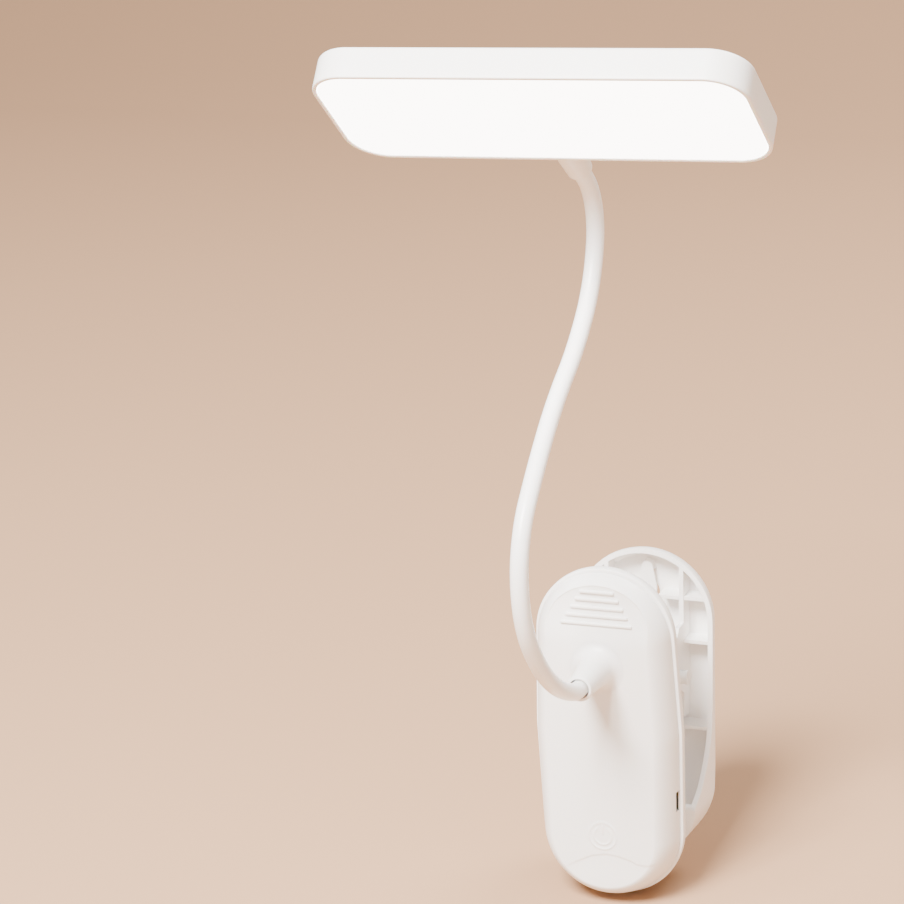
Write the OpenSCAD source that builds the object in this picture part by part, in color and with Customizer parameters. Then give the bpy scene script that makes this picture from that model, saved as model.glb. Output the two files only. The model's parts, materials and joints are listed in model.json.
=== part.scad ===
// Clip-on reading lamp: a flat LED panel on a flexible gooseneck, carried by a
// spring clip whose front half holds the battery, the charging board and a touch switch.
//
// Frame: millimetres. +X is the clip's right side, +Y runs from the front of the clip
// back through the mouth to the rear jaw, +Z runs up the clip.
// Origin: centre of the front grip pad's face, which rests against the board it grips.

/* [Clip body] */
// Radius of the clip's rounded top end
body_r_top = 28.3; // [26:0.1:29]
// Radius of the gentle bulge at the clip's waist
body_r_mid = 30; // [29.5:0.1:31]
// Radius of the clip's rounded bottom end
body_r_low = 29; // [28:0.1:29.4]
// Height of the top end's centre
body_z_top = 88.5; // [86:0.5:90]
// Height of the waist
body_z_mid = 50; // [45:1:55]
// Height of the bottom end's centre
body_z_low = 8.3; // [8:0.1:9]
// Wall thickness of the two clip shells
shell_t = 1.8; // [1.5:0.1:2]
// Distance from the grip pad's face forward to the line where the shells meet
parting_y = 11; // [11:0.1:11.2]

/* [Neck boss] */
// Height of the neck boss on the front shell
boss_z = 80; // [79:0.5:81]
// How far the boss mouth stands in front of the grip pad's face
boss_mouth_y = 43.5; // [43:0.1:44]
// Outer radius of the boss mouth
boss_r_mouth = 5.1; // [5:0.1:5.4]
// Outer radius of the boss where it flows into the shell
boss_r_base = 11; // [10.5:0.5:12]
// Radius of the fillet between the boss and the shell
boss_fillet = 4.5; // [4:0.5:5]
// Bore radius of the boss
boss_bore_r = 4; // [4:0.01:4.05]

/* [Gooseneck] */
// Outer radius of the soft sleeve
neck_r = 3.4; // [3.2:0.05:3.5]
// Length of each link between two bending places
link_l = 29; // [28:0.5:30]
// Largest bend at each bending place, in degrees each way
neck_bend = 20; // [10:1:20]

/* [Lamp head] */
// Length of the light panel
head_w = 163; // [150:1:170]
// Depth of the light panel
head_d = 62; // [58:1:66]
// Thickness of the light panel
head_h = 12.8; // [12:0.1:14]
// Corner radius of the light panel
head_r = 15; // [12:0.5:16]
// Length of the socket between the neck and the panel
socket_l = 17.4; // [15:0.1:20]
// Twist of the panel about its socket, in degrees
head_twist = 1.5; // [-3:0.5:3]

/* [Rear jaw] */
// Half width of the rear jaw
jaw_r = 28.6; // [27:0.1:29]
// Height of the hinge axis
hinge_z = 58.5; // [58:0.1:59]
// Distance of the hinge axis behind the front grip pad's face
hinge_y = 26; // [25.8:0.1:26.2]
// Thickness of the board that the clip holds in this pose
board_t = 4.5; // [4.3:0.1:4.6]
// Radius of the hinge pin
pin_r = 2.8; // [2.6:0.1:2.9]

/* [Hidden] */

$fn = 64;
eps = 0.02;

white_abs = [0.95, 0.93, 0.91];
sleeve_white = [0.97, 0.97, 0.96];
steel = [0.72, 0.73, 0.75];
rubber_grey = [0.78, 0.78, 0.77];
board_green = [0.1, 0.38, 0.24];

// ---- places shared by several parts ----
back_y = -1.5;                       // outer face of the rear cover
front_y_top = -21.3;                 // front face at z = 107
front_tilt = 1.5;                    // the front face leans back towards the top
rim_t = 2.2;                         // thickness of the rear cover's rim
pad_t = -back_y;                     // thickness of each grip pad
pad_size = [38, 18];
screw_places = [[-14, 98], [14, 98], [-10, -5], [10, -5]];
board_face_y = -11.2;                // front face of the main board
board_post_places = [[-9, 27], [16.5, 4]];
usb_z = 22.5;
touch_z = 10;
led_face_z = 0.4;                    // light side of the LED board, in the head's frame
head_low_z = -5.7;                   // the head's light face, in the head's frame
head_top_z = head_low_z + head_h;
led_post_places = [[-62.6, 35.7], [62.6, 35.7], [-62.6, 70.3], [62.6, 70.3]];
saddle_gap = [[-14, 10, -6], [14, 31, 6]];   // room for the neck clamp, in the head's frame

function front_y(z) = front_y_top - (107 - z) * tan(front_tilt);

// ---- the gooseneck's centre line: arcs in the plane x = 0 ----
// Headings are in degrees in that plane: 0 is +Y, 90 is +Z, 180 is -Y.
neck_start = [-42, boss_z];
base_arc = [8, -22];                 // length and turn of the stub outside the boss
link_turns = [-18, -18, -36, -43, -6, -11, 15, 33, 64];
head_stub = 8;                       // straight stub below the head
link_count = len(link_turns);
arcs = concat([base_arc], [for (t = link_turns) [link_l, t]]);
core_r = 2.5;
root_r = 2.6;                        // the hose's straight root inside the boss
ball_r = 2.6;
cup_r = 2.7;
lead_bore_r = 1.3;
lead_r = 0.9;
sleeve_gap = 0.9;                    // each sleeve stops this far from a bending place
sleeve_bore_r = 2.55;

function arc_radius(k) = abs(arcs[k][0] / (arcs[k][1] * PI / 180));
function arc_chord(k) = 2 * arc_radius(k) * sin(abs(arcs[k][1]) / 2);
function heading(k) = k == 0 ? 180 : heading(k - 1) + arcs[k - 1][1];
function place(k) =
    k == 0
        ? neck_start
        : place(k - 1) + arc_chord(k - 1)
            * [cos(heading(k - 1) + arcs[k - 1][1] / 2), sin(heading(k - 1) + arcs[k - 1][1] / 2)];
last = link_count + 1;
head_heading = heading(last);
neck_end = place(last) + head_stub * [cos(head_heading), sin(head_heading)];

// ---- general shapes ----

// Draws children, made in the (Y, Z) plane with thickness along X, in the clip's frame
module side_view() {
    rotate([90, 0, 90]) children();
}

// Draws a flat outline of (X, Z) points as a slab that ends at y and starts t in front of it
module slab(y, t) {
    translate([0, y, 0]) rotate([90, 0, 0]) linear_extrude(t) children();
}

// A round bar along Y from y0 to y1
module bar_y(x, z, y0, y1, r, r2) {
    end_r = r2 == undef ? r : r2;
    translate([x, y0, z]) rotate([-90, 0, 0]) cylinder(h = y1 - y0, r1 = r, r2 = end_r);
}

// A round bar along X from x0 to x1
module bar_x(y, z, x0, x1, r, r2) {
    end_r = r2 == undef ? r : r2;
    translate([x0, y, z]) rotate([0, 90, 0]) cylinder(h = x1 - x0, r1 = r, r2 = end_r);
}

module box(low, high) {
    translate(low) cube(high - low);
}

module rounded_rect(w, d, r) {
    hull() for (i = [-1, 1], j = [-1, 1]) translate([i * (w / 2 - r), j * (d / 2 - r)]) circle(r);
}

// A round wire through a list of points, as one closed skin
module wire(points, r, sides = 8) {
    n = len(points);
    tangent = [for (i = [0 : n - 1])
        unit(points[min(i + 1, n - 1)] - points[max(i - 1, 0)])];
    side = [for (i = 0, s = unit(cross(tangent[0], [0.31, 0.77, 0.55])); i < n;
        i = i + 1, s = i < n ? unit(s - (s * tangent[i]) * tangent[i]) : s) s];
    rings = [for (i = [0 : n - 1], j = [0 : sides - 1])
        let (a = 360 * j / sides, u = cross(tangent[i], side[i]))
        points[i] + r * (cos(a) * side[i] + sin(a) * u)];
    walls = [for (i = [0 : n - 2], j = [0 : sides - 1])
        let (a = i * sides + j, b = i * sides + (j + 1) % sides)
        [a, a + sides, b + sides, b]];
    caps = [[for (j = [0 : sides - 1]) j], [for (j = [sides - 1 : -1 : 0]) (n - 1) * sides + j]];
    polyhedron(rings, concat(caps, walls));
}

function unit(v) = v / norm(v);

// ---- clip outlines ----

function arc_points(centre, r, from, to, steps) =
    [for (i = [0 : steps]) let (a = from + (to - from) * i / steps)
        centre + r * [cos(a), sin(a)]];

module body_outline(inset) {
    polygon(concat(
        arc_points([0, body_z_top], body_r_top - inset, 2, 178, 20),
        arc_points([0, body_z_mid], body_r_mid - inset, 176, 184, 2),
        arc_points([0, body_z_low], body_r_low - inset, 182, 358, 20),
        arc_points([0, body_z_mid], body_r_mid - inset, -4, 4, 2)
    ));
}

// The front shell's domed form, as it is (t = 0) or smaller by t on every side
module front_form(t) {
    hull() {
        slab(-parting_y + (t > 0 ? 1 : 0), 0.5) body_outline(1.2 + t);
        slab(-parting_y - 4, 0.5) body_outline(2.2 + t);
        slab(-parting_y - 8 + t / 2, 0.5) body_outline(4.6 + t);
        translate([0, front_y(50) + t, 50]) rotate([-front_tilt, 0, 0])
            translate([0, 0.5, -50]) slab(0, 0.5) body_outline(8.2 + t * 0.7);
    }
}

// Floor of the scooped thumb rest, which runs out smoothly into the front face at z = 88
function recess_y(z) = let (t = min(max((z - 88) / 22, 0), 1)) front_y(z) + 2.85 * t * t * (3 - 2 * t);

module thumb_recess(shift) {
    translate([-30, 0, 0]) side_view() linear_extrude(60)
        polygon(concat([for (z = [88 : 2 : 118]) [recess_y(z) + shift, z]], [[-30, 118], [-30, 88]]));
}

module grip_ribs() {
    for (i = [0 : 4]) {
        half = 7.1 + i * 1.85;
        z = 110 - i * 3.1;
        box([-half, recess_y(z) - 0.7, z - 0.5], [half, recess_y(z) + 0.6, z + 0.5]);
    }
}

// Slender cone that runs out into the shell with a round fillet
module boss_form() {
    base_y = front_y(boss_z) + 0.3;
    reach = boss_mouth_y + base_y;
    fillet = [for (a = [0 : 7 : 84])
        [boss_r_base - boss_fillet * sin(a), boss_fillet - boss_fillet * cos(a)]];
    translate([0, base_y, boss_z]) rotate([90, 0, 0])
        rotate_extrude() polygon(concat([[0, -1], [boss_r_base, -1]], fillet,
            [[boss_r_mouth, reach], [0, reach]]));
}

// Raised ring and power sign over the touch pad
module touch_mark() {
    y = front_y(touch_z);
    bar_y(0, touch_z, y - 0.15, y + 0.3, 6);
}

// Where a post grows out of the front wall
function post_y(z) = z > 90 ? recess_y(z) + 0.8 : front_y(z) + 1;

module front_shell() {
    nut_seat_y = -18.8;
    color(white_abs) difference() {
        union() {
            difference() {
                union() {
                    difference() {
                        front_form(0);
                        thumb_recess(0);
                    }
                    grip_ribs();
                    boss_form();
                    touch_mark();
                }
                difference() {
                    front_form(shell_t);
                    thumb_recess(1.4);
                }
            }
            // seat for the neck nut
            bar_y(0, boss_z, front_y(boss_z) + 0.5, nut_seat_y, 9);
            // posts for the cover screws and for the board
            for (p = screw_places)
                bar_y(p[0], p[1], post_y(p[1]), -parting_y, 2.8);
            for (p = board_post_places)
                bar_y(p[0], p[1], front_y(p[1]) + 1, board_face_y, 2.4);
        }
        bar_y(0, boss_z, -boss_mouth_y - 1, nut_seat_y + 1, boss_bore_r);
        for (p = screw_places) bar_y(p[0], p[1], -18, -parting_y + 1, 1.25);
        for (p = board_post_places) bar_y(p[0], p[1], -18, board_face_y + 1, 0.85);
        // slot for the charging plug in the right wall
        box([24, board_face_y - 3, usb_z - 4.2], [32, board_face_y + 0.1, usb_z + 4.2]);
        box([26, board_face_y + 0.05, usb_z - 4.2], [32, -parting_y + 1, usb_z + 4.2]);
    }
}

// ---- rear cover with the hinge lugs ----

lug_x = [10.8, 14.2];

module lug_profile() {
    translate([hinge_y, hinge_z]) circle(6);
    polygon([[back_y - 0.7, hinge_z - 14], [hinge_y - 2.4, hinge_z - 5.5],
        [hinge_y - 2.2, hinge_z + 5.6], [back_y - 0.7, hinge_z + 12]]);
}

module rear_cover() {
    color(white_abs) difference() {
        union() {
            difference() {
                hull() {
                    slab(-parting_y + rim_t, rim_t) body_outline(0);
                    slab(back_y - 2.5, 0.5) body_outline(1.6);
                    slab(back_y, 0.5) body_outline(4.5);
                }
                hull() {
                    slab(-parting_y + 1, 2) body_outline(shell_t);
                    slab(back_y - 2.5 - shell_t / 2, 0.5) body_outline(1.6 + shell_t);
                    slab(back_y - shell_t, 0.5) body_outline(4.5 + shell_t);
                }
            }
            for (p = screw_places) bar_y(p[0], p[1], -parting_y, back_y - 0.5, 3.6);
            for (s = [-1, 1]) translate([s < 0 ? -lug_x[1] : lug_x[0], 0, 0])
                side_view() linear_extrude(lug_x[1] - lug_x[0]) lug_profile();
        }
        for (p = screw_places) {
            bar_y(p[0], p[1], -20, 1, 1.6);
            bar_y(p[0], p[1], back_y - 3, 1, 2.8);
        }
        bar_x(hinge_y, hinge_z, -20, 20, pin_r + 0.02);
    }
}

module cover_screws() {
    color(steel) for (p = screw_places) {
        bar_y(p[0], p[1], -17.5, back_y - 2.9, 1.2);
        difference() {
            bar_y(p[0], p[1], back_y - 3, back_y - 1.3, 2.5);
            // cross recess
            box([p[0] - 1.4, back_y - 2.2, p[1] - 0.3], [p[0] + 1.4, back_y, p[1] + 0.3]);
            box([p[0] - 0.3, back_y - 2.2, p[1] - 1.4], [p[0] + 0.3, back_y, p[1] + 1.4]);
        }
    }
}

// A rubber pad with shallow grooves beside its flat middle
module grip_pad(y0, y1, groove_y) {
    difference() {
        slab(y1, y1 - y0) rounded_rect(pad_size[0], pad_size[1], 3);
        for (z = [-7, -4.2, 4.2, 7])
            box([-30, groove_y - 0.4, z - 0.45], [30, groove_y + 0.4, z + 0.45]);
    }
}

module front_pad() {
    color(rubber_grey) grip_pad(back_y, 0, 0);
}

module jaw_pad() {
    color(rubber_grey) grip_pad(board_t, board_t + pad_t, board_t);
}

// ---- electronics in the clip ----

module main_board() {
    color(board_green) difference() {
        union() {
            box([-13, board_face_y, 0], [23, board_face_y + 1.2, 30]);
            // tongue under the charging socket
            box([22.9, board_face_y, usb_z - 4], [26.2, board_face_y + 1.2, usb_z + 4]);
        }
        for (p = board_post_places) bar_y(p[0], p[1], -20, 0, 1.3);
    }
}

module board_screws() {
    color(steel) for (p = board_post_places) {
        bar_y(p[0], p[1], -17.5, board_face_y + 1.2, 0.8);
        bar_y(p[0], p[1], board_face_y + 1.2, board_face_y + 1.75, 1.8);
    }
}

// Driver chip, inductor and a row of small parts on the board's front face
module board_parts() {
    color([0.15, 0.15, 0.16]) {
        box([7, board_face_y - 1.6, 6], [12, board_face_y, 11]);
        bar_y(16.5, 14, board_face_y - 3, board_face_y, 2.5);
        for (i = [0 : 3])
            box([-10 + i * 3, board_face_y - 0.9, 19], [-8.8 + i * 3, board_face_y, 21.4]);
    }
}

// Metal shell of the charging socket, open to the right
module usb_socket() {
    color(steel) difference() {
        box([21.2, board_face_y - 2.6, usb_z - 3.8], [27, board_face_y, usb_z + 3.8]);
        box([22, board_face_y - 2.2, usb_z - 3.4], [28, board_face_y - 0.4, usb_z + 3.4]);
    }
    color(rubber_grey)
        box([22 - eps, board_face_y - 1.5, usb_z - 2.6], [26, board_face_y - 1, usb_z + 2.6]);
}

module battery() {
    color([0.75, 0.77, 0.8]) hull() {
        slab(-3.32, 6) rounded_rect_at([-15, 12], [15, 58], 2);
    }
    color([0.85, 0.6, 0.2]) box([-10, -9.4, 58], [10, -8.2, 62]);
}

module rounded_rect_at(low, high, r) {
    translate((low + high) / 2) rounded_rect(high[0] - low[0], high[1] - low[1], r);
}

// Two wires from the cell's top end round its right edge to the board
module battery_leads() {
    color("firebrick") lead_run(0);
    color([0.1, 0.1, 0.1]) lead_run(1.6);
}

module lead_run(shift) {
    z = 60.4 + shift;
    x = 17.5 + shift;
    wire([[8, -7.4, z + 0.4], [12, -7.2, z + 1.2], [15.5, -7.2, z + 0.6], [x, -7.4, z - 2.5],
        [x + 0.4, -7.6, 52], [x + 0.4, -7.6, 40], [x + 0.2, -8, 33.5], [x, -9.4, 30.8],
        [x, -11.4, 30.9], [x, -12.2, 29.8], [x, -12.2, 27.4]], 0.6);
}

// Spring that carries the touch from the shell to the board
module touch_spring() {
    r = 2.4;
    low_y = front_y(touch_z) + shell_t + 0.35;
    turns = 6;
    steps = 18;
    reach = board_face_y - 0.3 - low_y;
    color(steel) wire([for (i = [0 : turns * steps])
        let (a = 360 * i / steps, rise = smooth(i / (turns * steps)))
        [r * cos(a), low_y + reach * rise, touch_z + r * sin(a)]], 0.25, 6);
}

function smooth(s) = s < 0.1 ? s * 0.3 : s > 0.9 ? 1 - (1 - s) * 0.3 : 0.03 + (s - 0.1) * 1.175;

// ---- hinge ----

module hinge_pin() {
    color(white_abs) difference() {
        union() {
            bar_x(hinge_y, hinge_z, -20.4, 20.4, pin_r);
            bar_x(hinge_y, hinge_z, 20.2, 21.6, pin_r, pin_r + 0.6);
            bar_x(hinge_y, hinge_z, -21.6, -20.2, pin_r + 0.6, pin_r);
        }
        // snap slits in both ends
        for (s = [-1, 1])
            translate([s * 20.6, hinge_y, hinge_z]) cube([4.4, 0.7, 10], center = true);
    }
}

spring_wire_r = 0.8;
spring_coil_r = 4.8;
spring_turns = 5;

// Closed coil round the hinge pin, with one leg on the rear cover and one on the jaw
module torsion_spring() {
    steps = 24;
    start_a = 250;
    end_a = start_a + 360 * spring_turns + 89;
    half = 7.4;
    n = spring_turns * steps + 6;
    coil = [for (i = [0 : n]) let (s = i / n, a = start_a + (end_a - start_a) * s)
        [-half + 2 * half * s, hinge_y + spring_coil_r * cos(a), hinge_z + spring_coil_r * sin(a)]];
    out_a = [0, sin(start_a), -cos(start_a)];
    out_b = [0, -sin(end_a), cos(end_a)];
    leg_a = [for (d = [26.2, 16, 8, 2]) coil[0] + d * out_a];
    leg_b = [for (d = [2, 8, 15.6]) coil[n] + d * out_b];
    color(steel) wire(concat(leg_a, coil, leg_b), spring_wire_r, 8);
}

// ---- rear jaw ----

jaw_lean = 5.3;
ear_x = [14.8, 16.6];
rib_x = 15.7;

// Front edge and back skin of the jaw seen from the side, as (Y, Z) points
jaw_rim = [[39.9, 110], [39.6, 106.7], [33.8, 45], [29.5, 29], [17, 15.5], [7, 11], [6, 10]];
jaw_back = [[6, -14], [13, -13.2], [27, -1], [38.5, 20], [44.4, 45], [50.2, 106.7], [50.5, 110]];

// Points of a smooth curve through p, n to each stretch; its two ends are left straight
function through(p, n) = [for (i = [0 : len(p) - 2], j = [0 : n - 1])
    let (a = p[max(i - 1, 0)], b = p[i], c = p[i + 1], d = p[min(i + 2, len(p) - 1)], t = j / n,
        m = (c - a) * 0.5 * norm(c - b) / norm(c - a) * 2 * (i > 0 ? 1 : 0)
            + (c - b) * (i > 0 ? 0 : 1),
        o = (d - b) * norm(c - b) / norm(d - b))
    (2 * t * t * t - 3 * t * t + 1) * b + (t * t * t - 2 * t * t + t) * m
        + (3 * t * t - 2 * t * t * t) * c + (t * t * t - t * t) * o];

// All that lies in front of the jaw's back skin
module jaw_side() {
    polygon(concat(through(jaw_back, 4), [[50.5, 125], [-60, 125], [-60, -14]]));
}

module jaw_band() {
    intersection() {
        jaw_side();
        polygon(concat(through(jaw_rim, 4), [[6, 10], [6, -30], [80, -30], [80, 110]]));
    }
}

module jaw_outline(inset) {
    r = jaw_r - inset;
    polygon(concat(
        arc_points([0, 105.8 - jaw_r], r, 0, 180, 28),
        arc_points([-8, 7], r - 8, 184, 270, 12),
        arc_points([8, 7], r - 8, 270, 356, 12)
    ));
}

// The jaw's outside, rounded towards the back of its upper end, or smaller by t on every side
module jaw_form(t) {
    translate([0, 44.4, 45]) rotate([-jaw_lean, 0, 0]) translate([0, -44.4, -45]) hull() {
        slab(36.4, 80) jaw_outline(t);
        slab(39.6, 0.5) jaw_outline(0.7 + t);
        slab(42.4, 0.5) jaw_outline(2.6 + t);
        slab(44.4 - t, 0.5) jaw_outline(6 + t);
    }
}

// The jaw's hollow side: all between its floor and its rim, and the room behind the pad plate
module jaw_hollow() {
    side_view() translate([0, 0, -40]) linear_extrude(80) difference() {
        offset(delta = -2.2) jaw_side();
        translate([-60, -40]) square([68.2, 53]);
    }
}

module keyhole_outline(grow) {
    translate([0, 86]) circle(4.2 + grow);
    translate([0, 95.5]) circle(2 + grow);
    translate([-2 - grow, 86]) square([4 + 2 * grow, 9.5]);
}

module hood_outline(inset) {
    translate([0, 97.3]) circle(2.3 - inset);
    polygon([[inset - 2.3, 97.3], [inset - 3.6, 89], [inset - 3.6, 79],
        [3.6 - inset, 79], [3.6 - inset, 89], [2.3 - inset, 97.3]]);
}

// Cover over the keyhole, open on its right side, that keeps a screw head clear
module keyhole_hood() {
    difference() {
        slab(48.6, 5) hood_outline(0);
        slab(48.6, 4) hood_outline(0.9);
        box([1.2, 44.6, 70], [12, 49, 96]);
    }
}

module jaw_ribs() {
    // two upright ribs
    for (s = [-1, 1]) translate([s * rib_x - 0.9, 0, 0]) side_view() linear_extrude(1.8)
        polygon([[39.2, 106], [34.4, 45], [33, 38], [42, 36], [44, 45], [49.4, 106]]);
    // level ribs
    for (z = [87, 69.2, 34]) {
        y = 34.6 + (z - 45) * tan(jaw_lean) - (z < 45 ? 1.5 : 0);
        box([-28, y, z - 0.7], [28, y + 9.6, z + 0.7]);
    }
}

module jaw_ears() {
    for (s = [-1, 1]) translate([s < 0 ? -ear_x[1] : ear_x[0], 0, 0])
        side_view() linear_extrude(ear_x[1] - ear_x[0]) {
            translate([hinge_y, hinge_z]) circle(6);
            polygon([[hinge_y - 5.6, hinge_z + 2.2], [27.5, 73.5], [31, 77], [44, 77], [43, 46],
                [39, 45], [hinge_y + 1.4, hinge_z - 5.85]]);
        }
}

module rear_jaw() {
    color(white_abs) difference() {
        union() {
            intersection() {
                side_view() translate([0, 0, -40]) linear_extrude(80) jaw_band();
                jaw_form(0);
                union() {
                    difference() {
                        box([-40, -10, -30], [40, 70, 120]);
                        intersection() {
                            jaw_hollow();
                            jaw_form(2);
                        }
                    }
                    difference() {
                        jaw_ribs();
                        slab(60, 40) keyhole_outline(2);
                    }
                    keyhole_hood();
                }
            }
            jaw_ears();
        }
        slab(60, 15.4) keyhole_outline(0);
        bar_x(hinge_y, hinge_z, -25, 25, pin_r + 0.05);
    }
}

// ---- gooseneck ----

// Stretch of a round bar along arc k, from s0 to s1 along its centre line
module arc_bar(k, s0, s1, r) {
    l = arcs[k][0];
    turn = arcs[k][1];
    rc = arc_radius(k);
    way = turn > 0 ? 1 : -1;
    p = place(k);
    h = heading(k);
    centre = p + way * rc * [-sin(h), cos(h)];
    a0 = h - way * 90 + turn * s0 / l;
    a1 = h - way * 90 + turn * s1 / l;
    side_view() translate([centre[0], centre[1], 0]) rotate([0, 0, min(a0, a1)])
        rotate_extrude(angle = abs(a1 - a0), $fn = 96) translate([rc, 0]) circle(r, $fn = 32);
}

module at_place(k) {
    p = place(k);
    translate([0, p[0], p[1]]) children();
}

module neck_sleeve(k) {
    if (k == last) color(sleeve_white) in_head() difference() {
        bar_y(0, 0, sleeve_gap - head_stub, 4, neck_r);
        bar_y(0, 0, -head_stub, 5, sleeve_bore_r);
    } else color(sleeve_white) difference() {
        arc_bar(k, k == 0 ? 0.4 : sleeve_gap, arcs[k][0] - sleeve_gap, neck_r);
        arc_bar(k, 0, arcs[k][0], sleeve_bore_r);
    }
}

// Along the neck's heading at bending place k, with +Z as the heading
module along_neck(k) {
    at_place(k) rotate([heading(k) - 90, 0, 0]) children();
}

// Steel hose: each stretch has a ball at its upper end and a cup at its lower end
module neck_core(k) {
    if (k == last) color(steel) difference() {
        in_head() bar_y(0, 0, -head_stub, 24, core_r);
        along_neck(k) sphere(cup_r);
        in_head() bar_y(0, 0, -head_stub - 1, 25, lead_bore_r);
    } else color(steel) difference() {
        union() {
            arc_bar(k, k == 0 ? -0.3 : 0.3, arcs[k][0] - 1.2, core_r);
            along_neck(k + 1) sphere(ball_r);
            if (k == 0) bar_y(0, boss_z, neck_start[0] - 0.4, -16.2, root_r);
        }
        if (k > 0) along_neck(k) sphere(cup_r);
        arc_bar(k, k == 0 ? -0.6 : 0, arcs[k][0] - 1, lead_bore_r);
        along_neck(k + 1) translate([0, 0, -1.5]) cylinder(h = 5, r = lead_bore_r + 0.15);
        if (k == 0) bar_y(0, boss_z, neck_start[0] - 0.3, -15, lead_bore_r + 0.2);
    }
}

function arc_at(k, s) =
    let (turn = arcs[k][1] * s / arcs[k][0], c = 2 * arc_radius(k) * sin(abs(turn) / 2))
    place(k) + c * [cos(heading(k) + turn / 2), sin(heading(k) + turn / 2)];

// Two-core lead from the main board through the whole neck to the LED board
module neck_lead() {
    bend = 3.5;
    turn_y = -16;
    inner = [for (a = [0 : 22.5 : 90])
        [0, turn_y + bend * cos(a), boss_z - bend + bend * sin(a)]];
    along = [for (k = [0 : link_count], i = [1 : 5])
        let (q = arc_at(k, arcs[k][0] * i / 5)) [0, q[0], q[1]]];
    out = [cos(head_heading), sin(head_heading)];
    head_path = [for (d = [20, 36]) let (q = place(last) + d * out) [0, q[0], q[1]]];
    color([0.2, 0.2, 0.2])
        wire(concat([[0, turn_y + bend, 26]], inner, [[0, neck_start[0], boss_z]], along,
            head_path), lead_r, 8);
}

module base_ferrule() {
    color(steel) difference() {
        union() {
            bar_y(0, boss_z, -32, -14.8, boss_bore_r - 0.03);
            bar_y(0, boss_z, -14.8, -13.6, 5);
        }
        bar_y(0, boss_z, -33, -16.2, root_r);
        bar_y(0, boss_z, -17, -13, 2.3);
        // the lead turns down here
        box([-1.4, -16, boss_z - 6], [1.4, -13, boss_z]);
    }
}

module neck_nut() {
    color(steel) difference() {
        translate([0, -18.8, boss_z]) rotate([-90, 0, 0]) cylinder(h = 4, r = 7.2, $fn = 6);
        bar_y(0, boss_z, -20, -14, boss_bore_r);
    }
}

// ---- lamp head ----

// The head's frame: origin at the socket mouth, +Y into the head, +Z out of its back
module in_head() {
    translate([0, neck_end[0], neck_end[1]]) rotate([head_heading - 180, 0, 0])
        rotate([0, 0, 180]) rotate([0, head_twist, 0]) children();
}

module head_outline(inset) {
    translate([0, socket_l + head_d / 2])
        rounded_rect(head_w - 2 * inset, head_d - 2 * inset, head_r - inset);
}

module head_level(z, t, inset) {
    translate([0, 0, z]) linear_extrude(t) head_outline(inset);
}

module head_shell() {
    color(white_abs) in_head() difference() {
        union() {
            difference() {
                hull() {
                    head_level(head_low_z, head_h - 1.6, 0);
                    head_level(head_top_z - 0.7, 0.2, 0.5);
                    head_level(head_top_z - 0.2, 0.2, 1.6);
                }
                hull() {
                    head_level(head_low_z - 1, head_h - 2.4, 1.6);
                    head_level(head_top_z - shell_t - 0.1, 0.1, 2.8);
                }
            }
            // tapered socket for the neck
            rotate([-90, 0, 0]) cylinder(h = socket_l + 0.8, r1 = 4.9, r2 = 5.6);
            for (p = led_post_places) translate([p[0], p[1], led_face_z + 1.2])
                cylinder(h = head_top_z - led_face_z - 2.2, r = 2.4);
            for (s = [-1, 1]) translate([s * 9, 24.5, 3.4])
                cylinder(h = head_top_z - 4.4, r = 2.2);
        }
        bar_y(0, 0, -1, 5, neck_r + 0.05);
        bar_y(0, 0, 4, socket_l + 5, 3.7);
        // relief for the ferrule's flange
        bar_y(0, 0, socket_l + 1.62, socket_l + 3.3, 5.05);
        for (p = led_post_places) translate([p[0], p[1], led_face_z - 1])
            cylinder(h = 5, r = 0.85);
        for (s = [-1, 1]) translate([s * 9, 24.5, 2]) cylinder(h = 3.4, r = 0.85);
    }
}

// Flanged sleeve crimped on the neck's upper end
module head_ferrule() {
    color(steel) in_head() difference() {
        union() {
            bar_y(0, 0, 5, socket_l + 1.8, 3.6);
            bar_y(0, 0, socket_l + 1.7, socket_l + 3, 4.9);
            bar_y(0, 0, socket_l + 2.9, 30, 3);
        }
        bar_y(0, 0, 4, 31, core_r + 0.02);
        box([-6, socket_l, -6], [6, 31, -3.6]);
    }
}

// Saddle that presses the ferrule's flange against the panel's rear wall
module neck_clamp() {
    y0 = socket_l + 3.1;
    color(steel) in_head() difference() {
        box([-12, y0, -3.7], [12, y0 + 8, 3.3]);
        bar_y(0, 0, y0 - 1, y0 + 9, 3.05);
        box([-3.05, y0 - 1, 0], [3.05, y0 + 9, 5]);
        for (s = [-1, 1]) box([s < 0 ? -13 : 5, y0 - 1, -4], [s < 0 ? -5 : 13, y0 + 9, 1.8]);
        for (s = [-1, 1]) translate([s * 9, 24.5, -5]) cylinder(h = 10, r = 1.1);
    }
}

module clamp_screws() {
    color(steel) in_head() for (s = [-1, 1]) {
        translate([s * 9, 24.5, 0.8]) cylinder(h = 1, r = 1.8);
        translate([s * 9, 24.5, 1.7]) cylinder(h = 3.5, r = 0.8);
    }
}

module led_board() {
    color([0.92, 0.92, 0.9]) in_head() difference() {
        head_level(led_face_z, 1.2, 6);
        box(saddle_gap[0], saddle_gap[1]);
        for (p = led_post_places) translate([p[0], p[1], -5]) cylinder(h = 10, r = 1.1);
    }
}

module led_board_screws() {
    color(steel) in_head() for (p = led_post_places) {
        translate([p[0], p[1], led_face_z - 0.8]) cylinder(h = 0.8, r = 1.5);
        translate([p[0], p[1], led_face_z - 0.1]) cylinder(h = 3.9, r = 0.8);
    }
}

module leds() {
    color([1, 0.95, 0.75]) in_head() for (i = [-5 : 5], j = [0 : 2])
        translate([i * 12 - 1.4, 39 + j * 14 - 1.75, led_face_z - 0.7]) cube([2.8, 3.5, 0.7]);
}

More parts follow.
